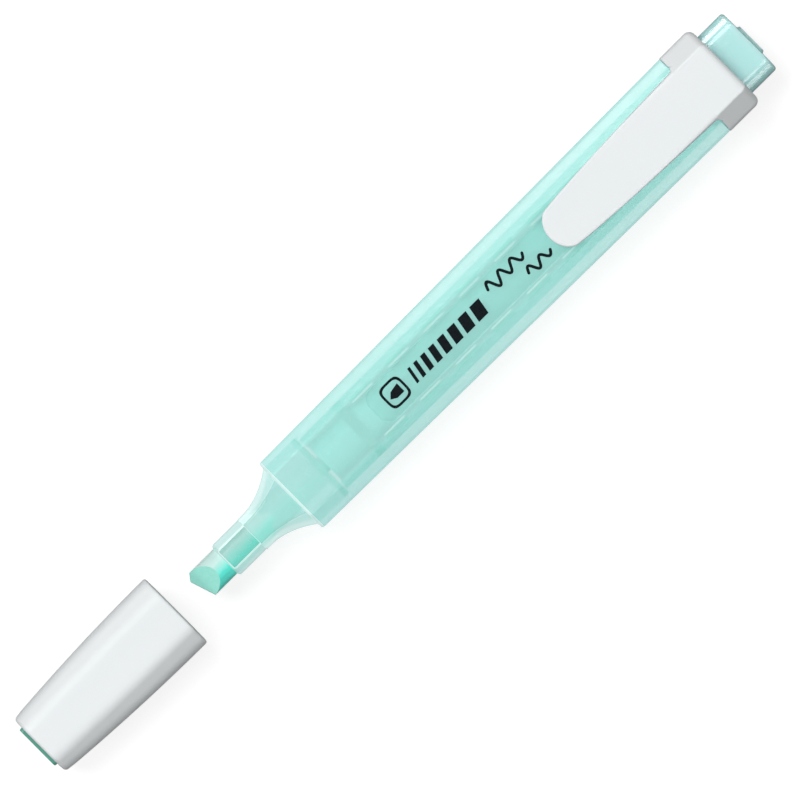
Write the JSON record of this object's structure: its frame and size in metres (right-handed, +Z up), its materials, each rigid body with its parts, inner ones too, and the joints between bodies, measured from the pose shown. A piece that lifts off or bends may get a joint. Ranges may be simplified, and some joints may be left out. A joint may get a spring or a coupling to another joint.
{
  "type": "highlighter",
  "caption": "Flat pastel highlighter with translucent barrel, slanted chisel nib, drawn-off cap, broad white pocket clip, collar and rear plug.",
  "frame": {"origin": "on the surface that the pen lies on, under the middle of the whole outline with the cap drawn off", "axes": "+X from the nib to the rear end along the pen, +Z up through the clip side, +Y across the pen"},
  "size_m": [0.165, 0.0166, 0.0134],
  "materials": {
    "translucent_mint": "satin translucent polypropylene",
    "solid_mint": "satin",
    "cap_mint": "satin",
    "white_plastic": "satin",
    "nib_fibre": "pressed fibre wet with ink",
    "ink_fibre": "fibre soaked with ink",
    "film": "thin clear film",
    "print_ink": "pad-printed ink"
  },
  "bodies": {
    "pen": {"barrel": "translucent_mint", "front_section": "translucent_mint", "nib": "nib_fibre", "reservoir_core": "ink_fibre", "reservoir_film": "film", "rear_plug": "solid_mint", "clip_collar": "white_plastic"},
    "cap": {"cap_shell": "white_plastic", "cap_liner": "cap_mint"},
    "clip": {"clip_tongue": "white_plastic"}
  },
  "joints": [
    {"name": "cap_slide", "type": "slide", "parent": "pen", "child": "cap", "axis": [1, 0, 0], "range_m": [0, 0.0262]},
    {"name": "clip_flex", "type": "hinge", "parent": "pen", "child": "clip", "pos_m": [0.06922, 0, 0.0127], "axis": [0, 1, 0], "range_deg": [0, 6], "stiffness_Nm_per_rad": 1.2}
  ]
}
